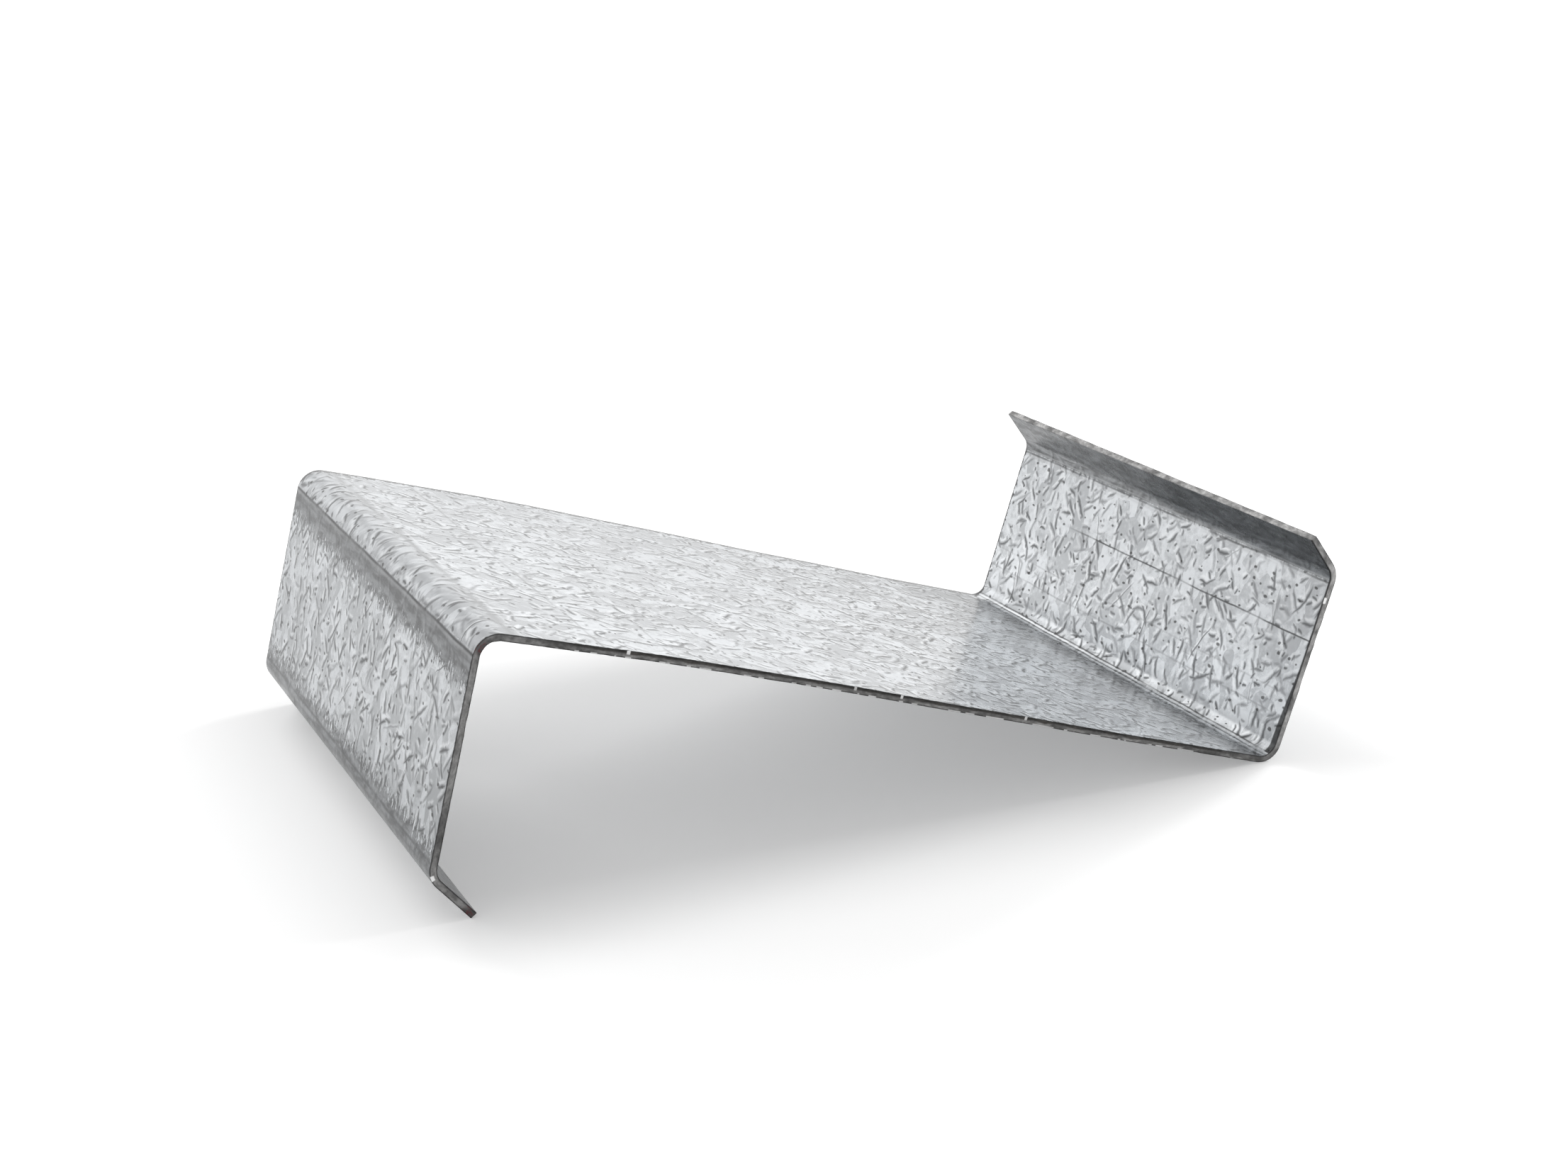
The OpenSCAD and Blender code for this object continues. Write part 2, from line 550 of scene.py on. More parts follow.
# %% The stroke's shape
MOST_BOW = 1.0
SOFT_EDGE = 0.85  # of the width
# Widths from the valley's middle to where its painted highlight runs
HIGHLIGHT_AT = 1.7  # widths beside the valley's middle
WEAKEST = 0.4

squared = g.math("MULTIPLY", local[0], local[0])
bow = g.math("MULTIPLY", g.math("SUBTRACT", dice[1], 0.5), MOST_BOW)
off = g.math("ADD", local[1], g.math("MULTIPLY", bow, squared))
span = g.math("SUBTRACT", put_in["Long"], put_in["Short"])
half_length = g.math("ADD", put_in["Short"], g.math("MULTIPLY", dice[2], span))
part = g.math("DIVIDE", squared, g.math("MULTIPLY", half_length, half_length))
taper = g.math("SUBTRACT", 1.0, g.math("MULTIPLY", part, part))
half = g.math("MULTIPLY", put_in["Width"], taper)
soft = g.math("MULTIPLY", put_in["Width"], SOFT_EDGE)
valley = g.math("DIVIDE", g.math("SUBTRACT", half, g.math("ABSOLUTE", off)), soft, clamp=True)
# Painted highlight: a bright line on one side of each valley, as if light caught it
beside = g.math("ABSOLUTE", g.math("SUBTRACT", off, g.math("MULTIPLY", put_in["Width"], HIGHLIGHT_AT)))
highlight = g.math("DIVIDE", g.math("SUBTRACT", half, beside), soft, clamp=True)
# Seven times the dice that set the direction is as good as a fourth dice
force = g.ramp(g.math("FRACT", g.math("MULTIPLY", dice[0], 7.0)), 0.0, 1.0, WEAKEST, 1.0)
g.put(put_out["Valley"], g.math("MULTIPLY", valley, force))
g.put(put_out["Highlight"], g.math("MULTIPLY", highlight, force))
print("stroke group:", len(stroke_tree.nodes), "nodes")

# %% [markdown]
# ## Spangle
#
# Six layers of strokes cross at different cell sizes and lie in V shapes and sprays. Under them
# are the crystals' own faint shades of grey, from Voronoi cells, and with them a few dark pores.
# A slow noise shakes the place that all of them are drawn at, so no stroke is quite regular. The
# underside reads the same pattern half a metre further on, so the two faces differ.

# %% Start the spangle group: a shaken place on the blank, in millimetres
UNDERSIDE_SHIFT = 0.5  # metres
SHAKE = 2.4  # mm for each unit of wobble
SHAKES_PER_MM = 0.32

spangle_tree, g, put_in, put_out = group(
    "spangle",
    [("Blank", "Vector", None), ("Wobble", "Float", 0.9)],
    [("Shade", "Float"), ("Valley", "Float"), ("Highlight", "Float"), ("Pore", "Float")],
)
parts = g.parts(put_in["Blank"])
under = g.math("MULTIPLY", g.math("LESS_THAN", parts[2], 0.0), UNDERSIDE_SHIFT)
flat_values = {0: g.math("ADD", parts[0], under), 1: parts[1]}
flat = g.node("ShaderNodeCombineXYZ", flat_values).outputs[0]
flat = g.vector("MULTIPLY", flat, (1 / MM, 1 / MM, 0.0))
shake = g.vector("SUBTRACT", g.noise(flat, SHAKES_PER_MM, 1.0)["Color"], (0.5, 0.5, 0.5))
shake = g.scaled(shake, g.math("MULTIPLY", put_in["Wobble"], SHAKE))
drawn = g.vector("ADD", flat, g.vector("MULTIPLY", shake, (1.0, 1.0, 0.0)))
print("spangle group so far:", len(spangle_tree.nodes), "nodes")

# %% Six layers of strokes
STROKE_LAYERS = [
    # cell in mm, shift in cells, turn and spread in radians, half length from and to, half width
    (26.0, (7.3, 4.1, 0.0), 0.30, 1.20, 5.0, 8.5, 0.34),
    (13.5, (3.1, 7.7, 0.0), 0.55, 0.55, 3.2, 6.5, 0.75),
    (11.5, (11.4, 2.9, 0.0), -0.50, 0.55, 2.6, 5.6, 0.85),
    (9.0, (5.6, 13.2, 0.0), 0.20, 1.30, 1.8, 4.2, 0.85),
    (7.0, (17.3, 8.1, 0.0), 0.0, 1.57, 1.3, 3.2, 0.72),
    (5.2, (9.9, 21.7, 0.0), 0.0, 1.57, 0.6, 1.8, 0.62),
]
valleys, highlights = 0.0, 0.0
for size, shift, turn, spread, short, long, width in STROKE_LAYERS:
    layer = g.use(stroke_tree, {
        "Place": g.vector("MULTIPLY", drawn, (1 / size, 1 / size, 0.0)), "Shift": shift,
        "Turn": turn, "Spread": spread, "Short": short / size, "Long": long / size,
        "Width": width / size,
    })
    valleys = g.math("MAXIMUM", valleys, layer["Valley"])
    highlights = g.math("MAXIMUM", highlights, layer["Highlight"])
g.put(put_out["Valley"], valleys)
g.put(put_out["Highlight"], highlights)
print(len(STROKE_LAYERS), "layers, finest cell", min(row[0] for row in STROKE_LAYERS), "mm")

# %% Crystal shades and pores
CRYSTALS_PER_MM = (0.13, 0.20, 0.0)
PORES_PER_MM = (0.23, 0.15, 0.0)
PORE_RIM = (0.09, 0.15)  # in cells, from its dark middle outwards
SMALLER_PORES = 0.07
PORELESS_SHARE = 0.35
GRAINS_PER_MM = 0.42
CRYSTAL_SHADE, GRAIN_SHADE = 0.42, 0.55

crystal = g.cells(g.vector("MULTIPLY", drawn, CRYSTALS_PER_MM))
own_shade = g.math("MULTIPLY", g.channels(crystal["Color"])[0], CRYSTAL_SHADE)
grain = g.math("MULTIPLY", g.noise(drawn, GRAINS_PER_MM, 2.0, 0.6)["Fac"], GRAIN_SHADE)
g.put(put_out["Shade"], g.math("ADD", own_shade, grain))
pores = g.cells(g.vector("MULTIPLY", drawn, PORES_PER_MM))
few = g.channels(pores["Color"])
off = g.math("ADD", pores["Distance"], g.math("MULTIPLY", few[1], SMALLER_PORES))
has_pore = g.math("GREATER_THAN", few[0], PORELESS_SHARE)
g.put(put_out["Pore"], g.math("MULTIPLY", g.ramp(off, *PORE_RIM, 1.0, 0.0), has_pore))
print("spangle group:", len(spangle_tree.nodes), "nodes")

# %% [markdown]
# ## Marks of the forming rolls, with painted light and shade
#
# Where the forming rolls press hardest, beside each fold, they iron the crystals flat and leave
# a smooth, darker band. Its edge is ragged, because a crystal is either rubbed away or not. Over
# the narrow lip fold and lip the dark band is also painted shade, for the lip's dark reflection.
# The edges of the rolls also leave fine lines that run the whole length of the piece. In the
# narrow fold some of them are a painted highlight with painted dark reflection on each side.

# %% The roll band group
EDGE_BLUR = 0.0004

band_tree, g, put_in, put_out = group(
    "band_mask",
    [("Strip", "Float", 0.0), ("Fray", "Float", 0.0), ("From", "Float", 0.0), ("To", "Float", 0.01),
     ("Ragged From", "Float", 0.002), ("Ragged To", "Float", 0.002)],
    [("Mask", "Float")],
)


def past(ragged, border):
    """1 where the strip's coordinate, frayed, is past the border, 0 before it."""
    frayed = g.math("ADD", put_in["Strip"], g.math("MULTIPLY", put_in["Fray"], put_in[ragged]))
    return g.math("DIVIDE", g.math("SUBTRACT", frayed, put_in[border]), EDGE_BLUR, clamp=True)


in_band = g.math("SUBTRACT", past("Ragged From", "From"), past("Ragged To", "To"), clamp=True)
g.put(put_out["Mask"], in_band)
print("roll band group:", len(band_tree.nodes), "nodes")

# %% The roll line group
line_tree, g, put_in, put_out = group(
    "line_mark",
    [("Strip", "Float", 0.0), ("Fade", "Float", 1.0), ("At", "Float", 0.0), ("Width", "Float", 0.0005)],
    [("Mask", "Float")],
)
away = g.math("ABSOLUTE", g.math("SUBTRACT", put_in["Strip"], put_in["At"]))
near = g.math("SUBTRACT", 1.2, g.math("DIVIDE", away, put_in["Width"]), clamp=True)
g.put(put_out["Mask"], g.math("MULTIPLY", near, put_in["Fade"]))
print("roll line group:", len(line_tree.nodes), "nodes")

# %% Where the rolls left their bands and lines, and where shade and a highlight are painted
ROLL_BANDS_AND_LIP_SHADE = [
    # strip from and to in mm, and how ragged each of the two edges is in mm
    (-5.0, END["wide_lip_fold"] + 4.8, 0.0, 3.4),
    (BEGIN["wide_fold"] - 8.0, BEGIN["wide_fold"] + 0.4, 3.0, 0.0),
    # Over the narrow lip fold and lip this dark band is painted shade too, for the lip's dark
    # reflection
    (END["narrow_flange"], STRIP + 5, 0.2, 0.0),
]
FADING_LINE = BEGIN["narrow_flange"] + 31.2
ROLL_LINES_AND_HIGHLIGHTS = [
    # place on the strip and half width in mm, tone and force
    (END["wide_lip_fold"] - 1.2, 0.5, 0.14, 0.6),
    (END["wide_lip_fold"] + 0.8, 0.5, 0.12, 0.7),
    (BEGIN["wide_fold"] - 1.7, 0.4, 0.12, 0.6),
    (BEGIN["wide_fold"] - 0.4, 0.6, 0.34, 0.6),
    (BEGIN["wide_fold"] + 0.35, 0.4, 0.04, 0.95),
    (END["wide_fold"] + 2.7, 1.1, 0.30, 0.8),
    (END["wide_fold"] + 5.0, 0.6, 0.86, 0.3),
    (END["wide_fold"] + 26.8, 0.5, 0.26, 0.7),
    (END["wide_fold"] + 46.6, 0.4, 0.34, 0.6),
    (BEGIN["narrow_curl"] - 7.1, 0.6, 0.22, 0.8),
    # In the narrow fold: a painted white highlight, with painted dark reflection on each side
    (BEGIN["narrow_fold"] + 0.4, 0.5, 0.20, 0.5),
    (BEGIN["narrow_fold"] + 2.0, 0.7, 0.85, 0.6),
    (BEGIN["narrow_fold"] + 2.8, 0.35, 0.08, 0.7),
    (BEGIN["narrow_fold"] + 3.6, 0.5, 0.97, 0.95),
    (BEGIN["narrow_fold"] + 4.5, 0.4, 0.06, 0.9),
    (BEGIN["narrow_flange"] + 7.8, 0.35, 0.25, 0.5),
    (BEGIN["narrow_flange"] + 14.4, 0.35, 0.30, 0.4),
    (FADING_LINE, 0.32, 0.06, 0.95),
    (END["narrow_flange"] - 1.2, 0.7, 0.34, 0.5),
    (END["narrow_flange"] - 0.3, 0.5, 0.08, 0.85),
    (END["narrow_flange"] + 0.9, 0.4, 0.42, 0.6),
]
print(len(ROLL_BANDS_AND_LIP_SHADE), "ironed bands and", len(ROLL_LINES_AND_HIGHLIGHTS), "roll lines")

# %% Painted light and shade in steps along the strip
PAINTED_LIGHT_STEPS = [
    # strip from and to in mm, and the factor between them: painted light above 1, painted shade below 1
    (-3.0, -2.0, 1.2),
    (END["wide_lip_fold"] + 2.5, END["wide_lip_fold"] + 6.0, 0.84),
    (BEGIN["wide_fold"] - 6.0, BEGIN["wide_fold"] - 3.0, 0.90),
    (BEGIN["wide_fold"] + 0.2, BEGIN["wide_fold"] + 0.9, 0.69),
    (BEGIN["wide_fold"] + 5.0, BEGIN["wide_fold"] + 6.8, 1.29),
    (END["wide_fold"] + 1.0, END["wide_fold"] + 8.0, 1.24),
    (BEGIN["narrow_fold"] - 46.0, BEGIN["narrow_fold"] - 18.0, 0.78),
    (BEGIN["narrow_fold"] - 13.5, BEGIN["narrow_fold"] - 8.0, 0.80),
    (BEGIN["narrow_fold"] - 3.5, BEGIN["narrow_fold"] - 1.0, 1.56),
    (BEGIN["narrow_fold"] + 4.6, BEGIN["narrow_fold"] + 5.2, 0.86),
    (END["narrow_fold"] - 1.0, END["narrow_fold"] + 3.0, 1.27),
    (END["narrow_fold"] + 4.0, END["narrow_fold"] + 39.0, 0.81),
    (END["narrow_flange"] - 2.0, END["narrow_flange"] + 3.0, 1.50),
    (END["narrow_lip_fold"] - 1.0, END["narrow_lip_fold"] + 5.0, 0.80),
]
print("tone at the narrow lip:", np.prod([factor for _, _, factor in PAINTED_LIGHT_STEPS]).round(2))

# %% [markdown]
# ## The galvanised finish
#
# Zinc is a metal, so the shader is fully metallic and its base colour is what it reflects. The
# colour is built one layer over the other: first the spangle with its painted highlights, then
# the ironed bands, which are painted shade as well over the narrow lip, then painted light and
# shade in steps along the strip, the roll lines with a painted highlight in the narrow fold, and
# last painted shade along the sheared ends. Each layer is a small function that takes a colour
# and hands one back.


# %% The spangle's colours
CRYSTAL_DARK, CRYSTAL_LIGHT = grey(0.47, -0.03), grey(0.68, -0.03)
BANK_HIGHLIGHT, VALLEY, PORE = grey(0.84, -0.02), grey(0.17, -0.03), grey(0.08)
MEAN = grey(0.56, -0.03)
DARKEST = (0.07, 0.07, 0.07)
SHARPER = (170.0, 265.0)  # mm along the strip, where the web's contrast grows


def zinc(g, spangle, along):
    """Crystals from dark to light, with painted highlights beside the strokes, dark valleys and pores.
    """
    colour = g.mix(g.ramp(spangle["Shade"], 0.3, 0.72), CRYSTAL_DARK, CRYSTAL_LIGHT)
    # Painted highlight beside each stroke, in a light grey
    colour = g.mix(g.math("MULTIPLY", spangle["Highlight"], 0.6), colour, BANK_HIGHLIGHT)
    colour = g.mix(spangle["Valley"], colour, VALLEY)
    colour = g.mix(g.math("MULTIPLY", spangle["Pore"], 0.8), colour, PORE)
    # A factor above 1 moves the colour away from the mean grey, which is more contrast
    contrast = g.ramp_mm(along, *SHARPER, 1.15, 1.65)
    past_web = g.ramp_mm(along, BEGIN["narrow_fold"], END["narrow_fold"], 0.0, -0.57)
    colour = g.mix(g.math("ADD", contrast, past_web), MEAN, colour, clamp=False)
    return g.vector("MAXIMUM", colour, DARKEST)


print("the zinc's greys run from", VALLEY[1], "in a valley to", BANK_HIGHLIGHT[1], "on a bank")

# %% The ironed bands, which are also painted shade over the narrow lip
# Greys of the bands; over the narrow lip they are painted shade
BAND_DARK, BAND_LIGHT = grey(0.115, -0.02), grey(0.265, -0.03)
BAND_HIGHLIGHT, BAND_VALLEY = grey(0.34, -0.02), grey(0.09, -0.02)
# Grain of the patterns: how often per metre along the strip, along the piece and through it
FRAY_GRAIN = (260.0, 1100.0, 0.0)
SMEAR_GRAIN = (420.0, 110.0, 0.0)
FRAY_FORCE = 6.0


def ironed(g, colour, spangle, blank_place, along):
    """Smoother, darker metal in ironed bands, with a little spangle left; painted shade on the narrow
    lip.
    """
    fray = g.noise(g.vector("MULTIPLY", blank_place, FRAY_GRAIN), 1.0, 3.0, 0.75)["Fac"]
    fray = g.math("MULTIPLY", g.math("SUBTRACT", fray, 0.5), FRAY_FORCE)
    mask = 0.0
    for begin, end, ragged_begin, ragged_end in ROLL_BANDS_AND_LIP_SHADE:
        band = g.use(band_tree, {
            "Strip": along, "Fray": fray, "From": begin * MM, "To": end * MM,
            "Ragged From": ragged_begin * MM, "Ragged To": ragged_end * MM,
        })
        mask = g.math("MAXIMUM", mask, band["Mask"])
    smear = g.noise(g.vector("MULTIPLY", blank_place, SMEAR_GRAIN), 1.0, 2.0, 0.6)["Fac"]
    tone = g.mix(g.ramp(smear, 0.3, 0.7), BAND_DARK, BAND_LIGHT)
    tone = g.mix(g.math("MULTIPLY", spangle["Valley"], 0.4), tone, BAND_VALLEY)
    tone = g.mix(g.math("MULTIPLY", spangle["Highlight"], 0.35), tone, BAND_HIGHLIGHT)
    return g.mix(g.math("MULTIPLY", mask, 0.95), colour, tone)


print("ironed width of the wide fold's band:", round(ROLL_BANDS_AND_LIP_SHADE[1][1] - ROLL_BANDS_AND_LIP_SHADE[1][0], 1), "mm")

# %% Painted light and shade along the strip, a darker far web and a darker near flange end
NEAR_END, FAR_END = -LENGTH / 2, LENGTH / 2
DARKER_WEB_FROM = -40.0  # mm along the piece, from its middle
DARKER_WEB = 0.09
DARKER_FLANGE_TO = -45.0
DARKER_FLANGE = 0.13


def painted_light_and_shade(g, colour, along, lengthways, on_web):
    """Painted light and shade along the strip, a darker far half of the web and a darker near flange
    end.
    """
    # Painted light and shade in steps along the strip
    for begin, end, factor in PAINTED_LIGHT_STEPS:
        colour = g.scaled(colour, g.ramp_mm(along, begin, end, 1.0, factor))
    far_web = g.math("MULTIPLY", on_web, g.ramp_mm(lengthways, DARKER_WEB_FROM, FAR_END, 0.0, DARKER_WEB))
    on_flange = g.ramp_mm(along, BEGIN["narrow_fold"], END["narrow_fold"])
    near_end = g.ramp_mm(lengthways, NEAR_END, DARKER_FLANGE_TO, DARKER_FLANGE, 0.0)
    darkening = g.math("ADD", far_web, g.math("MULTIPLY", on_flange, near_end))
    return g.scaled(colour, g.math("SUBTRACT", 1.0, darkening))


print(f"duller by up to {DARKER_WEB:.0%} on the web and {DARKER_FLANGE:.0%} on the narrow flange")

# %% Roll lines, and the painted highlight in the narrow fold
SWAY = 0.0009  # metres
SWAY_GRAIN = (25.0, 45.0, 0.0)
FADING = (30.0, 50.0)  # mm along the piece, from its middle


def lined(g, colour, blank_place, along, lengthways):
    """Fine lines along the piece, swaying and fading a little, one ending half way, some painted light.
    """
    sway = g.noise(g.vector("MULTIPLY", blank_place, SWAY_GRAIN), 1.0, 3.0)
    swayed = g.math("MULTIPLY", g.math("SUBTRACT", sway["Fac"], 0.5), SWAY)
    swayed = g.math("ADD", along, swayed)
    fade = g.ramp(g.channels(sway["Color"])[1], 0.3, 0.6, 0.4, 1.0)
    for at, width, tone, force in ROLL_LINES_AND_HIGHLIGHTS:
        line = g.use(line_tree, {"Strip": swayed, "Fade": fade, "At": at * MM, "Width": width * MM})
        mark = g.math("MULTIPLY", line["Mask"], force)
        if at == FADING_LINE:
            mark = g.math("MULTIPLY", mark, g.ramp_mm(lengthways, *FADING, 1.0, 0.0))
        colour = g.mix(mark, colour, grey(tone, -0.02))
    return colour


print("lines per 100 mm of strip:", round(100 * len(ROLL_LINES_AND_HIGHLIGHTS) / STRIP, 1))

# %% Painted shade beside the sheared ends
# The rim is painted shade: dark along the rounded corners of the cut ends, more at the far end and
# below
RIM = 0.0004  # metres of dark rim at both ends
RIM_FAR = 0.0007  # more of it at the far end
RIM_WEB = 0.0022  # and more again on the far end of the web
RIM_BELOW = 0.0007  # and more on the undersides of the flanges
RIM_BLUR = 0.0002
RIM_GRAIN = (350.0, 0.0, 0.0)
RIM_SHADE_GREY, SHADOW_WEDGE_GREY = grey(0.06), grey(0.025)
SHADOW_WEDGE = (0.0024, 0.0007)  # metres of shade beside the narrow flange's near end, low and high
SHADOW_WEDGE_HEIGHT = 26.0  # mm
SHADOW_WEDGE_START = 4.0  # mm into the fold
SHADOW_WEDGE_BLUR = 0.0004


def painted_rim_shade(g, colour, blank_place, along, lengthways, through, on_web):
    """Painted shade: a dark rim, uneven along the cut ends, and a dark shadow inside the narrow flange.
    """
    from_end = g.math("SUBTRACT", LENGTH / 2 * MM, g.math("ABSOLUTE", lengthways))
    uneven = g.noise(g.vector("MULTIPLY", blank_place, RIM_GRAIN), 1.0, 2.0, 0.7)["Fac"]
    far = g.math("GREATER_THAN", lengthways, 0.0)
    more = g.math("ADD", RIM_FAR, g.math("MULTIPLY", on_web, RIM_WEB))
    rim = g.math("ADD", RIM, g.math("MULTIPLY", far, more))
    rim = g.math("MULTIPLY", rim, g.ramp(uneven, 0.35, 0.65, 0.5, 1.0))
    off_web = g.math("SUBTRACT", 1.0, on_web)
    below = g.math("MULTIPLY", g.math("LESS_THAN", through, 0.0), off_web)
    rim = g.math("ADD", rim, g.math("MULTIPLY", below, RIM_BELOW))
    mask = g.math("DIVIDE", g.math("SUBTRACT", rim, from_end), RIM_BLUR, clamp=True)
    colour = g.mix(g.math("MULTIPLY", mask, 0.9), colour, RIM_SHADE_GREY)

    # Painted shadow: a dark strip on the narrow flange's inner face beside its near end
    shadow_wedge = g.ramp_mm(along, END["narrow_fold"], END["narrow_fold"] + SHADOW_WEDGE_HEIGHT, *SHADOW_WEDGE)
    inside = g.math("GREATER_THAN", along, (BEGIN["narrow_fold"] + SHADOW_WEDGE_START) * MM)
    shadow_wedge = g.math("MULTIPLY", g.math("MULTIPLY", shadow_wedge, inside), g.math("SUBTRACT", 1.0, far))
    shadow_wedge = g.math("MULTIPLY", shadow_wedge, g.math("GREATER_THAN", through, 0.0))
    mask = g.math("DIVIDE", g.math("SUBTRACT", shadow_wedge, from_end), SHADOW_WEDGE_BLUR, clamp=True)
    return g.mix(g.math("MULTIPLY", mask, 0.9), colour, SHADOW_WEDGE_GREY)


print(f"widest rim: {(RIM + RIM_FAR + RIM_WEB) / MM:.1f} mm")


# %% Material of the sheet's faces
def blank_attribute(g):
    """Where this point lay on the flat blank."""
    return g.node("ShaderNodeAttribute", attribute_name="blank").outputs["Vector"]


def metal(g, colour, roughness, height, strength):
    """A fully metallic surface with small bumps, linked to the material's output."""
    bump = g.node("ShaderNodeBump", {"Height": height, "Strength": strength, "Distance": 0.0002})
    surface = g.node("ShaderNodeBsdfPrincipled", {
        "Base Color": colour, "Metallic": 1.0, "Roughness": roughness, "Normal": bump.outputs[0],
    })
    g.put(g.node("ShaderNodeOutputMaterial").inputs["Surface"], surface.outputs[0])


WOBBLE = 0.38
DENTS_PER_METRE = 420.0
galvanised = bpy.data.materials.new("galvanised")
g = empty_graph(galvanised)
blank_place = blank_attribute(g)
along, lengthways, through = g.parts(blank_place)
spangle = g.use(spangle_tree, {"Blank": blank_place, "Wobble": WOBBLE})
after_wide = g.ramp_mm(along, BEGIN["wide_fold"], END["wide_fold"])
before_narrow = g.ramp_mm(along, BEGIN["narrow_fold"], END["narrow_fold"], 1.0, 0.0)
on_web = g.math("MULTIPLY", after_wide, before_narrow)
colour = zinc(g, spangle, along)
colour = ironed(g, colour, spangle, blank_place, along)
colour = painted_light_and_shade(g, colour, along, lengthways, on_web)
colour = lined(g, colour, blank_place, along, lengthways)
colour = painted_rim_shade(g, colour, blank_place, along, lengthways, through, on_web)
dents = g.noise(blank_place, DENTS_PER_METRE, 1.0)["Fac"]
metal(g, colour, g.ramp(spangle["Shade"], 0.2, 0.8, 0.22, 0.30), dents, 0.10)
sheet.data.materials.append(galvanised)
print("galvanised:", len(galvanised.node_tree.nodes), "nodes")

# %% [markdown]
# ## Sheared steel
#
# A shear presses a smooth dark band into the upper part of the cut and tears the rest, which
# stays rougher and lighter, with bits of bright burr along its lower corner. So the colour of a
# cut face depends on where it lies across the sheet's thickness, and changes in patches along
# the cut. Both corners of a cut face get painted shade. The near end also has a few painted
# glints, small white highlights, and two spots that have begun to rust.

# %% Start the cut group: pressed above, torn below, painted shade at both corners
WEB_CUT_FROM = (90.0, 105.0)  # mm along the strip
WEB_CUT_TO = (300.0, 315.0)
PAST_WEB = (312.0, 330.0)
BLOCK_GRAIN = (150.0, 150.0, 250.0)
TEAR_GRAIN = (900.0, 900.0, 1500.0)
BLOCK_SWING = 0.002  # metres that the pressed band's limit moves up or down by
CORNER_SHADE_GREY = grey(0.035)

cut_tree, g, put_in, put_out = group(
    "cut",
    [("Blank", "Vector", None), ("Pressed", "Color", grey(0.1)), ("Torn", "Color", grey(0.2)),
     ("Burr", "Float", 0.9), ("Outline", "Float", 1.0)],
    [("Tone", "Color"), ("Tear", "Float")],
)
along, lengthways, through = g.parts(put_in["Blank"])
block_place = g.vector("MULTIPLY", put_in["Blank"], BLOCK_GRAIN)
block = g.noise(block_place, 1.0, 2.0, 0.6, dimensions="3D")["Fac"]
tear_place = g.vector("MULTIPLY", put_in["Blank"], TEAR_GRAIN)
tear = g.noise(tear_place, 1.0, 2.0, 0.6, dimensions="3D")["Fac"]
height = g.math("ADD", through, g.math("MULTIPLY", g.math("SUBTRACT", block, 0.5), BLOCK_SWING))
in_web = g.math("MULTIPLY", g.ramp_mm(along, *WEB_CUT_FROM), g.ramp_mm(along, *WEB_CUT_TO, 1.0, 0.0))
upper = g.math("MULTIPLY", g.ramp_mm(height, -0.2, 0.5), in_web)
tone = g.mix(upper, put_in["Torn"], put_in["Pressed"])
past_web = g.ramp_mm(along, *PAST_WEB, 0.85, 1.25)
patchy = g.math("MULTIPLY", g.ramp(block, 0.35, 0.65, 0.55, 1.40), g.ramp(tear, 0.3, 0.7, 0.8, 1.2))
tone = g.scaled(tone, g.math("MULTIPLY", patchy, past_web))
# Painted shade along both rounded corners of the cut face
corner_shade = g.ramp_mm(g.math("ABSOLUTE", through), 0.55, 0.9)
tone = g.mix(g.math("MULTIPLY", corner_shade, put_in["Outline"]), tone, CORNER_SHADE_GREY)
print("cut group so far:", len(cut_tree.nodes), "nodes")

# %% Burr, rust and painted glints
RUST = (0.13, 0.02, 0.025, 1.0)
BURR_GREY, GLINT_GREY = grey(0.75), grey(0.95)
BURR_GRAIN = (260.0, 260.0, 0.0)
ON_NEAR_END = -0.08  # metres along the piece
RUST_AT = [
    # place on the strip and half width in mm, and force
    (2.0, 2.2, 0.6),
    (BEGIN["wide_fold"] + 2.6, 2.2, 0.6),
]
# Painted glints: small white highlights on the near end's cut face
GLINTS_AT = [
    # place on the strip and half width in mm, and force
    (END["wide_lip_fold"] - 2.8, 0.8, 1.0),
    (END["wide_fold"] + 33.5, 0.6, 0.8),
    (END["wide_fold"] + 99.5, 0.5, 0.5),
    (END["wide_fold"] + 114.0, 0.5, 0.7),
    (BEGIN["narrow_curl"] - 33.0, 0.5, 0.6),
    (END["narrow_flange"] - 5.5, 1.1, 1.0),
]


def spot_at(place, half, inner, force):
    """A soft spot on the cut at this place on the strip, full within its inner share."""
    off = g.math("ABSOLUTE", g.math("SUBTRACT", along, place * MM))
    return g.ramp_mm(off, half * inner, half, force, 0.0)


dashes = g.noise(g.vector("MULTIPLY", put_in["Blank"], BURR_GRAIN), 1.0, 1.0)["Fac"]
burr = g.math("MULTIPLY", g.ramp(dashes, 0.55, 0.58), g.ramp_mm(through, -0.8, -0.5, 1.0, 0.0))
burr = g.math("MULTIPLY", g.math("MULTIPLY", burr, in_web), put_in["Burr"])
tone = g.mix(burr, tone, BURR_GREY)
near_end = g.math("LESS_THAN", lengthways, ON_NEAR_END)
for place, half, force in RUST_AT:
    spot = g.math("MULTIPLY", spot_at(place, half, 0.4, force), near_end)
    tone = g.mix(g.math("MULTIPLY", spot, g.ramp(tear, 0.4, 0.6)), tone, RUST)
for place, half, force in GLINTS_AT:
    spot = g.math("MULTIPLY", spot_at(place, half, 0.6, force), near_end)
    spot = g.math("MULTIPLY", spot, g.ramp_mm(through, -0.2, 0.2))
    tone = g.mix(spot, tone, GLINT_GREY)
g.put(put_out["Tone"], tone)
g.put(put_out["Tear"], tear)
print("cut group:", len(cut_tree.nodes), "nodes")


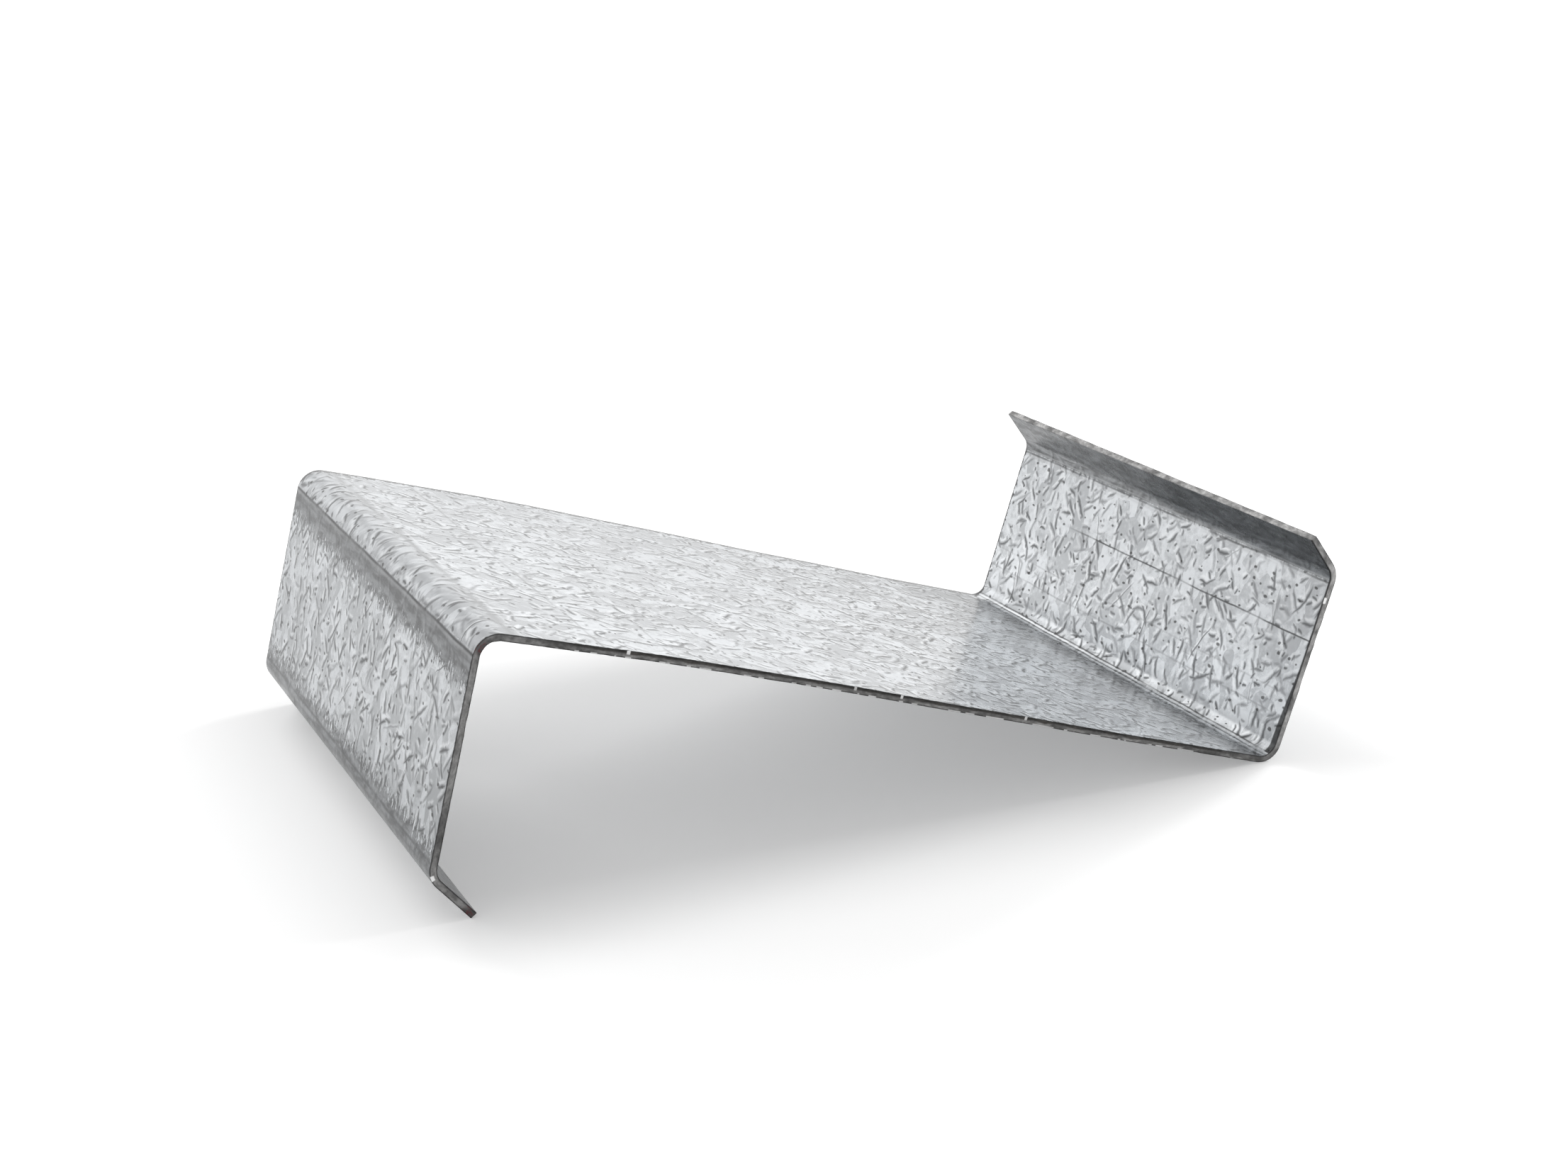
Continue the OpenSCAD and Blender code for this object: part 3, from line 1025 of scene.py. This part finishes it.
# %% Materials of the cut edges
def cut_steel(name, pressed, torn, burr, outline):
    """Cut face: pressed grey above, torn grey below, burr bright in patches at the bottom."""
    made = bpy.data.materials.new(name)
    g = empty_graph(made)
    cut = g.use(cut_tree, {
        "Blank": blank_attribute(g), "Pressed": grey(pressed, 0.05), "Torn": grey(torn, 0.01),
        "Burr": burr, "Outline": outline,
    })
    metal(g, cut["Tone"], 0.5, cut["Tear"], 0.4)
    return made


sheet.data.materials.append(cut_steel("sheared_end", pressed=0.06, torn=0.24, burr=0.9, outline=0.85))
sheet.data.materials.append(cut_steel("slit_edge", pressed=0.30, torn=0.26, burr=0.9, outline=0.25))
print("materials:", [m.name for m in sheet.data.materials])

# %% Which side of the sheet has which material
# The upper and lower face, the two sheared ends and the two slit edges
SIDE_MATERIAL = np.array([0, 0, 1, 1, 2, 2], dtype=np.int32)
sheet.data.polygons.foreach_set("material_index", SIDE_MATERIAL[side_of])
print("quads on faces, sheared ends and slit edges:", np.bincount(SIDE_MATERIAL[side_of]))

# %% [markdown]
# ## The floor
#
# The piece lies on a plain white floor. The floor is matt, so it takes the soft shadow, and it
# glows a little for the camera and for reflections, so that it reads as white. For the camera it
# glows a little more outside the object's footprint: painted light that thins the outer part of
# the object's shadow. Mirrored in metal it is slightly dimmed. The glow is only seen, straight or
# mirrored: it gives no light to matt surfaces.

# %% Lay the floor
FLOOR_HALF = 12.0
FLOOR_PAINT = 0.86
GLOW = (0.256, 0.9)  # strength near the object and far from it
GLOW_FROM, GLOW_TO = 0.8, 3.0  # metres
SHADOW_LIFT_GLOW = 0.13
SHADOW_LIFT_RIM = 0.045  # metres outside the footprint
DIMMED = 0.2

floor_corners = np.array([[-1, -1, 0], [1, -1, 0], [1, 1, 0], [-1, 1, 0]]) * FLOOR_HALF
floor = mesh_piece("studio_floor", floor_corners, np.array([[0, 1, 2, 3]]), smooth=False)
paint = bpy.data.materials.new("floor_paint")
g = empty_graph(paint)
rays = g.node("ShaderNodeLightPath").outputs
seen = g.math("MAXIMUM", rays["Is Camera Ray"], rays["Is Glossy Ray"])
spot = g.node("ShaderNodeTexCoord").outputs["Object"]
spread = g.ramp(g.vector("LENGTH", spot), GLOW_FROM, GLOW_TO, *GLOW)
outside = g.parts(g.vector("SUBTRACT", g.vector("ABSOLUTE", spot), cad_high))
# Painted light: more glow for the camera outside the footprint thins the shadow's outer part
clear = g.ramp(g.math("MAXIMUM", outside[0], outside[1]), 0.0, SHADOW_LIFT_RIM, 0.0, SHADOW_LIFT_GLOW)
clear = g.math("MULTIPLY", rays["Is Camera Ray"], clear)
strength = g.math("ADD", g.math("MULTIPLY", seen, spread), clear)
glow = g.node("ShaderNodeEmission", {"Color": (1, 1, 1, 1), "Strength": strength})
matt = g.node("ShaderNodeBsdfDiffuse", {"Color": grey(FLOOR_PAINT)})
dark = g.node("ShaderNodeEmission", {"Strength": 0.0})
both = g.node("ShaderNodeAddShader", {0: glow.outputs[0], 1: matt.outputs[0]})
dimming = g.math("MULTIPLY", rays["Is Glossy Ray"], DIMMED)
dimmed = g.node("ShaderNodeMixShader", {0: dimming, 1: both.outputs[0], 2: dark.outputs[0]})
g.put(g.node("ShaderNodeOutputMaterial").inputs["Surface"], dimmed.outputs[0])
floor.data.materials.append(paint)
print("floor material:", len(paint.node_tree.nodes), "nodes")

# %% [markdown]
# ## The sky of the studio
#
# A metal shows what stands around it, so a studio wraps metal in a bright tent of cloth. The tent
# here is a world that only reflected rays see: even white, brighter in a ring at mid height and
# where one large sheet of cloth hangs. The camera itself sees plain white, and matt surfaces get
# a weaker even light, so the tent's pattern stays in the metal.

# %% Hang the tent
ROOM_LIGHT = 0.46
TENT = 0.87
RING = 0.40
SLOPE_BACK, SLOPE_LEFT = 0.087, 0.05

world = bpy.data.worlds.new("studio")
bpy.context.scene.world = world
g = empty_graph(world)
way = g.parts(g.node("ShaderNodeTexCoord").outputs["Generated"])
ring = g.math("MULTIPLY", g.ramp(way[2], -0.10, 0.25), g.ramp(way[2], 0.35, 0.80, 1.0, 0.0))
back = g.math("MULTIPLY", way[1], SLOPE_BACK)
slope = g.math("SUBTRACT", back, g.math("MULTIPLY", way[0], SLOPE_LEFT))
cloth = g.math("MULTIPLY", g.ramp(way[2], 0.08, 0.32), g.ramp(way[0], -0.35, 0.15, 0.28, 0.0))
cloth = g.math("MULTIPLY", cloth, g.ramp(way[1], 0.1, 0.55))
tent = g.math("ADD", g.math("ADD", g.math("MULTIPLY", ring, RING), TENT), slope)
tent = g.math("ADD", tent, cloth)
rays = g.node("ShaderNodeLightPath").outputs
diffuse, camera_ray = rays["Is Diffuse Ray"], rays["Is Camera Ray"]
reflected = g.math("SUBTRACT", g.math("SUBTRACT", 1.0, diffuse), camera_ray)
strength = g.math("ADD", g.math("MULTIPLY", diffuse, ROOM_LIGHT), camera_ray)
strength = g.math("ADD", strength, g.math("MULTIPLY", reflected, tent))
air = g.node("ShaderNodeBackground", {"Color": (1, 1, 1, 1), "Strength": strength})
g.put(g.node("ShaderNodeOutputWorld").inputs["Surface"], air.outputs[0])
print("world:", len(world.node_tree.nodes), "nodes")

# %% [markdown]
# ## Lights
#
# Three large square softboxes stand behind the piece and to its right, and throw the soft shadow
# towards the camera. They don't show in the metal, because the tent already does that part.


# %% The softboxes
def facing(eye, aim):
    """Turned frame at eye whose back points away from aim: columns right, up and back."""
    back = (eye - aim) / np.linalg.norm(eye - aim)
    right = np.cross([0.0, 0.0, 1.0], back)
    right /= np.linalg.norm(right)
    frame4 = np.eye(4)
    frame4[:3, :3] = np.stack([right, np.cross(back, right), back], axis=1)
    frame4[:3, 3] = eye
    return Matrix(frame4.tolist())


SOFTBOX_SIZE = 2.4
SOFTBOX_AIM = np.array([0.0, 0.0, 0.03])
SOFTBOXES = [
    # name, place in metres, power in watts
    ("box_back_left", (-3.3, 3.3, 2.2), 38.0),
    ("box_back", (-0.5, 4.7, 2.2), 144.0),
    ("box_right", (4.3, 0.5, 2.2), 129.0),
]
for name, place, power in SOFTBOXES:
    softbox = bpy.data.lights.new(name, "AREA")
    softbox.shape = "SQUARE"
    softbox.size = SOFTBOX_SIZE
    softbox.energy = power
    holder = bpy.data.objects.new(name, softbox)
    bpy.context.scene.collection.objects.link(holder)
    holder.matrix_world = facing(np.array(place), SOFTBOX_AIM)
    holder.visible_glossy = False
print("softboxes:", sum(power for _, _, power in SOFTBOXES), "W in all")

# %% [markdown]
# ## Camera
#
# A small piece is seen best from a little above, through a lens somewhat longer than normal, so
# that its near corner isn't blown up. The place and the aim are in metres.

# %% The camera
EYE = np.array([-0.2796, -0.5896, 0.2548])
AIM = np.array([0.0012, 0.0021, 0.0435])
camera_data = bpy.data.cameras.new("camera")
camera_data.lens = 53.41
camera_data.sensor_width = 36.0
camera_data.clip_start = 0.01
camera = bpy.data.objects.new("camera", camera_data)
bpy.context.scene.collection.objects.link(camera)
camera.matrix_world = facing(EYE, AIM)
bpy.context.scene.camera = camera
bpy.context.scene.view_settings.view_transform = "Standard"
print(f"camera {np.linalg.norm(EYE - AIM):.2f} m away")

# %% [markdown]
# ## The solid's box
#
# The box of the solid is taken straight after loading. It is printed there, and the floor uses it
# as the object's footprint.
